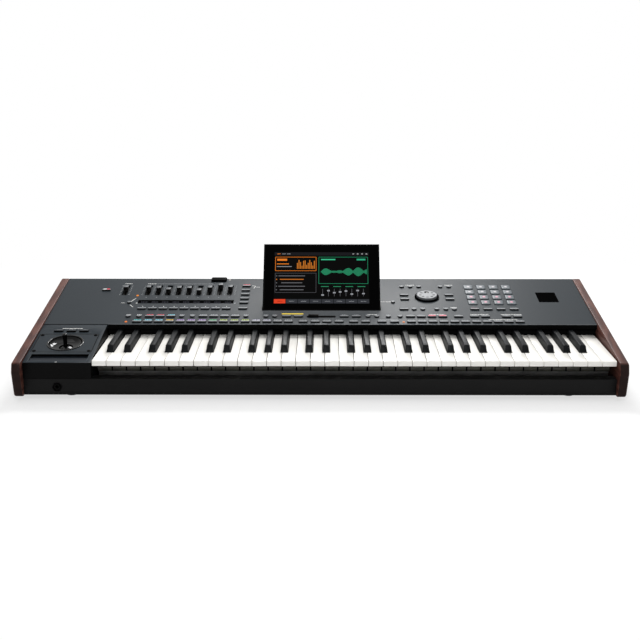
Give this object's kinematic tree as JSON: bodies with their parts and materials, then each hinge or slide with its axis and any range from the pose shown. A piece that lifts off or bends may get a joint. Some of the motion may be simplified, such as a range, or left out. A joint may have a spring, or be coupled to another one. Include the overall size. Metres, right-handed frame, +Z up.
{
  "type": "arranger keyboard",
  "caption": "Arranger keyboard with full-size keys, wooden cheeks, a sloped control panel with sliders, pads and a dial, a joystick pod and a folding display.",
  "frame": {"origin": "middle of the footprint, on the floor under the feet", "axes": "+X to the player's right along the keys, +Y to the back, +Z up"},
  "size_m": [0.99, 0.3778, 0.2018],
  "materials": {
    "panel_grey": "satin dark slate grey paint",
    "pod_grey": "satin dark slate grey moulding",
    "case_black": "satin black",
    "strip_black": "satin black",
    "cheek_wood": "satin red-brown stain",
    "natural_white": "gloss cream white",
    "sharp_black": "gloss black",
    "display_black": "satin black",
    "display_glass": "dark gloss glass",
    "button_grey": "satin dark grey",
    "pad_grey": "frosted grey",
    "control_black": "satin black",
    "dial_silver": "pale silver",
    "stick_black": "gloss black",
    "window_black": "gloss black",
    "lamp_amber": "clear amber",
    "bare_steel": "plain sheet steel",
    "guide_felt": "grey felt",
    "board_green": "solder resist",
    "supply_grey": "plain dark grey",
    "foot_rubber": "black rubber",
    "screw_black": "black finish"
  },
  "bodies": {
    "case": {"bottom_case": "case_black", "front_strip": "strip_black", "top_panel": "panel_grey", "rear_panel": "case_black", "left_cheek": "cheek_wood", "right_cheek": "cheek_wood", "joystick_pod": "pod_grey", "pod_plate": "pod_grey", "ribbon_strip": "control_black", "display_hinge": "bare_steel", "control_bodies": "control_black", "panel_trim": "window_black", "indicator_lamps": "lamp_amber", "port_hood": "control_black", "keybed_frame": "bare_steel", "key_guide_strip": "guide_felt", "key_pivot_rail": "strip_black", "key_springs": "bare_steel", "circuit_boards": "board_green", "power_supply": "supply_grey", "sockets": "control_black", "screws": "screw_black", "feet": "foot_rubber"},
    "display": {"display_housing": "display_black", "display_glass": "display_glass"},
    "gimbal": {"joystick_gimbal": "control_black"},
    "stick": {"joystick_stick": "stick_black"},
    "left_buttons": {"left_buttons": "button_grey"},
    "middle_buttons": {"middle_buttons": "button_grey"},
    "right_buttons": {"right_buttons": "button_grey"},
    "pod_buttons": {"pod_buttons": "button_grey"},
    "function_buttons": {"function_buttons": "button_grey"},
    "pads": {"pads": "pad_grey"},
    "master_slider": {"master_slider": "control_black"},
    "balance_knob": {"balance_knob": "control_black"},
    "dial": {"dial": "dial_silver"},
    "power_rocker": {"power_rocker": "control_black"},
    "slider_1": {"slider_1": "control_black"},
    "slider_2": {"slider_2": "control_black"},
    "slider_3": {"slider_3": "control_black"},
    "slider_4": {"slider_4": "control_black"},
    "slider_5": {"slider_5": "control_black"},
    "slider_6": {"slider_6": "control_black"},
    "slider_7": {"slider_7": "control_black"},
    "slider_8": {"slider_8": "control_black"},
    "slider_9": {"slider_9": "control_black"},
    "key_c": {"key_c": "natural_white"},
    "key_d": {"key_d": "natural_white"},
    "key_e": {"key_e": "natural_white"},
    "key_f": {"key_f": "natural_white"},
    "key_g": {"key_g": "natural_white"},
    "key_a": {"key_a": "natural_white"},
    "key_b": {"key_b": "natural_white"},
    "key_c_sharp": {"key_c_sharp": "sharp_black"},
    "key_d_sharp": {"key_d_sharp": "sharp_black"},
    "key_f_sharp": {"key_f_sharp": "sharp_black"},
    "key_g_sharp": {"key_g_sharp": "sharp_black"},
    "key_a_sharp": {"key_a_sharp": "sharp_black"},
    "natural_keys": {"natural_keys": "natural_white"},
    "sharp_keys": {"sharp_keys": "sharp_black"}
  },
  "joints": [
    {"name": "display_fold", "type": "hinge", "parent": "case", "child": "display", "pos_m": [0, 0.04388, 0.09341], "axis": [1, 0, 0], "range_deg": [-41.5, 0]},
    {"name": "key_c_press", "type": "hinge", "parent": "case", "child": "key_c", "pos_m": [0, 0.02, 0.0562], "axis": [1, 0, 0], "range_deg": [0, 2.97], "stiffness_Nm_per_rad": 0.3, "springref_deg": -17.19},
    {"name": "key_d_press", "type": "hinge", "parent": "case", "child": "key_d", "pos_m": [0, 0.02, 0.0562], "axis": [1, 0, 0], "range_deg": [0, 2.97], "stiffness_Nm_per_rad": 0.3, "springref_deg": -17.19},
    {"name": "key_e_press", "type": "hinge", "parent": "case", "child": "key_e", "pos_m": [0, 0.02, 0.0562], "axis": [1, 0, 0], "range_deg": [0, 2.97], "stiffness_Nm_per_rad": 0.3, "springref_deg": -17.19},
    {"name": "key_f_press", "type": "hinge", "parent": "case", "child": "key_f", "pos_m": [0, 0.02, 0.0562], "axis": [1, 0, 0], "range_deg": [0, 2.97], "stiffness_Nm_per_rad": 0.3, "springref_deg": -17.19},
    {"name": "key_g_press", "type": "hinge", "parent": "case", "child": "key_g", "pos_m": [0, 0.02, 0.0562], "axis": [1, 0, 0], "range_deg": [0, 2.97], "stiffness_Nm_per_rad": 0.3, "springref_deg": -17.19},
    {"name": "key_a_press", "type": "hinge", "parent": "case", "child": "key_a", "pos_m": [0, 0.02, 0.0562], "axis": [1, 0, 0], "range_deg": [0, 2.97], "stiffness_Nm_per_rad": 0.3, "springref_deg": -17.19},
    {"name": "key_b_press", "type": "hinge", "parent": "case", "child": "key_b", "pos_m": [0, 0.02, 0.0562], "axis": [1, 0, 0], "range_deg": [0, 2.97], "stiffness_Nm_per_rad": 0.3, "springref_deg": -17.19},
    {"name": "key_c_sharp_press", "type": "hinge", "parent": "case", "child": "key_c_sharp", "pos_m": [0, 0.02, 0.0562], "axis": [1, 0, 0], "range_deg": [0, 2.97], "stiffness_Nm_per_rad": 0.3, "springref_deg": -17.19},
    {"name": "key_d_sharp_press", "type": "hinge", "parent": "case", "child": "key_d_sharp", "pos_m": [0, 0.02, 0.0562], "axis": [1, 0, 0], "range_deg": [0, 2.97], "stiffness_Nm_per_rad": 0.3, "springref_deg": -17.19},
    {"name": "key_f_sharp_press", "type": "hinge", "parent": "case", "child": "key_f_sharp", "pos_m": [0, 0.02, 0.0562], "axis": [1, 0, 0], "range_deg": [0, 2.97], "stiffness_Nm_per_rad": 0.3, "springref_deg": -17.19},
    {"name": "key_g_sharp_press", "type": "hinge", "parent": "case", "child": "key_g_sharp", "pos_m": [0, 0.02, 0.0562], "axis": [1, 0, 0], "range_deg": [0, 2.97], "stiffness_Nm_per_rad": 0.3, "springref_deg": -17.19},
    {"name": "key_a_sharp_press", "type": "hinge", "parent": "case", "child": "key_a_sharp", "pos_m": [0, 0.02, 0.0562], "axis": [1, 0, 0], "range_deg": [0, 2.97], "stiffness_Nm_per_rad": 0.3, "springref_deg": -17.19},
    {"name": "natural_keys_press", "type": "hinge", "parent": "case", "child": "natural_keys", "pos_m": [0, 0.02, 0.0562], "axis": [1, 0, 0], "range_deg": [0, 2.97], "stiffness_Nm_per_rad": 8.7, "springref_deg": -17.19},
    {"name": "sharp_keys_press", "type": "hinge", "parent": "case", "child": "sharp_keys", "pos_m": [0, 0.02, 0.0562], "axis": [1, 0, 0], "range_deg": [0, 2.97], "stiffness_Nm_per_rad": 6, "springref_deg": -17.19},
    {"name": "left_buttons_press", "type": "slide", "parent": "case", "child": "left_buttons", "axis": [0, -0.1582, 0.9874], "range_m": [-0.0012, 0], "stiffness_N_per_m": 900, "springref_m": 0.002},
    {"name": "middle_buttons_press", "type": "slide", "parent": "case", "child": "middle_buttons", "axis": [0, -0.1582, 0.9874], "range_m": [-0.0012, 0], "stiffness_N_per_m": 500, "springref_m": 0.002},
    {"name": "right_buttons_press", "type": "slide", "parent": "case", "child": "right_buttons", "axis": [0, -0.1582, 0.9874], "range_m": [-0.0012, 0], "stiffness_N_per_m": 900, "springref_m": 0.002},
    {"name": "pads_press", "type": "slide", "parent": "case", "child": "pads", "axis": [0, -0.1582, 0.9874], "range_m": [-0.0012, 0], "stiffness_N_per_m": 900, "springref_m": 0.002},
    {"name": "pod_buttons_press", "type": "slide", "parent": "case", "child": "pod_buttons", "axis": [0, -0.1582, 0.9874], "range_m": [-0.0012, 0], "stiffness_N_per_m": 200, "springref_m": 0.002},
    {"name": "function_buttons_press", "type": "slide", "parent": "case", "child": "function_buttons", "axis": [0, -0.1582, 0.9874], "range_m": [-0.0012, 0], "stiffness_N_per_m": 200, "springref_m": 0.002},
    {"name": "master_slider_slide", "type": "slide", "parent": "case", "child": "master_slider", "axis": [0, 0.9874, 0.1582], "range_m": [-0.0205, 0.0165]},
    {"name": "slider_1_slide", "type": "slide", "parent": "case", "child": "slider_1", "axis": [0, 0.9874, 0.1582], "range_m": [-0.0201, 0.0169]},
    {"name": "slider_2_slide", "type": "slide", "parent": "case", "child": "slider_2", "axis": [0, 0.9874, 0.1582], "range_m": [-0.0177, 0.0193]},
    {"name": "slider_3_slide", "type": "slide", "parent": "case", "child": "slider_3", "axis": [0, 0.9874, 0.1582], "range_m": [-0.0098, 0.0272]},
    {"name": "slider_4_slide", "type": "slide", "parent": "case", "child": "slider_4", "axis": [0, 0.9874, 0.1582], "range_m": [-0.0178, 0.0192]},
    {"name": "slider_5_slide", "type": "slide", "parent": "case", "child": "slider_5", "axis": [0, 0.9874, 0.1582], "range_m": [-0.0169, 0.0201]},
    {"name": "slider_6_slide", "type": "slide", "parent": "case", "child": "slider_6", "axis": [0, 0.9874, 0.1582], "range_m": [-0.0056, 0.0314]},
    {"name": "slider_7_slide", "type": "slide", "parent": "case", "child": "slider_7", "axis": [0, 0.9874, 0.1582], "range_m": [-0.019, 0.018]},
    {"name": "slider_8_slide", "type": "slide", "parent": "case", "child": "slider_8", "axis": [0, 0.9874, 0.1582], "range_m": [-0.0315, 0.0055]},
    {"name": "slider_9_slide", "type": "slide", "parent": "case", "child": "slider_9", "axis": [0, 0.9874, 0.1582], "range_m": [-0.0221, 0.0149]},
    {"name": "balance_knob_slide", "type": "slide", "parent": "case", "child": "balance_knob", "axis": [1, 0, 0], "range_m": [-0.0025, 0.0295]},
    {"name": "dial_turn", "type": "hinge", "parent": "case", "child": "dial", "pos_m": [0.195, 0.09617, 0.10837], "axis": [0, -0.1582, 0.9874], "continuous": true},
    {"name": "joystick_push", "type": "hinge", "parent": "case", "child": "gimbal", "pos_m": [-0.42575, -0.0959, 0.0533], "axis": [1, 0, 0], "range_deg": [-14, 14], "stiffness_Nm_per_rad": 0.15},
    {"name": "joystick_lean", "type": "hinge", "parent": "gimbal", "child": "stick", "pos_m": [-0.42575, -0.0959, 0.0533], "axis": [0, 0.9874, 0.1582], "range_deg": [-14, 14], "stiffness_Nm_per_rad": 0.15},
    {"name": "power_rocker_tip", "type": "hinge", "parent": "case", "child": "power_rocker", "pos_m": [0.345, 0.181, 0.048], "axis": [1, 0, 0], "range_deg": [0, 14]}
  ]
}
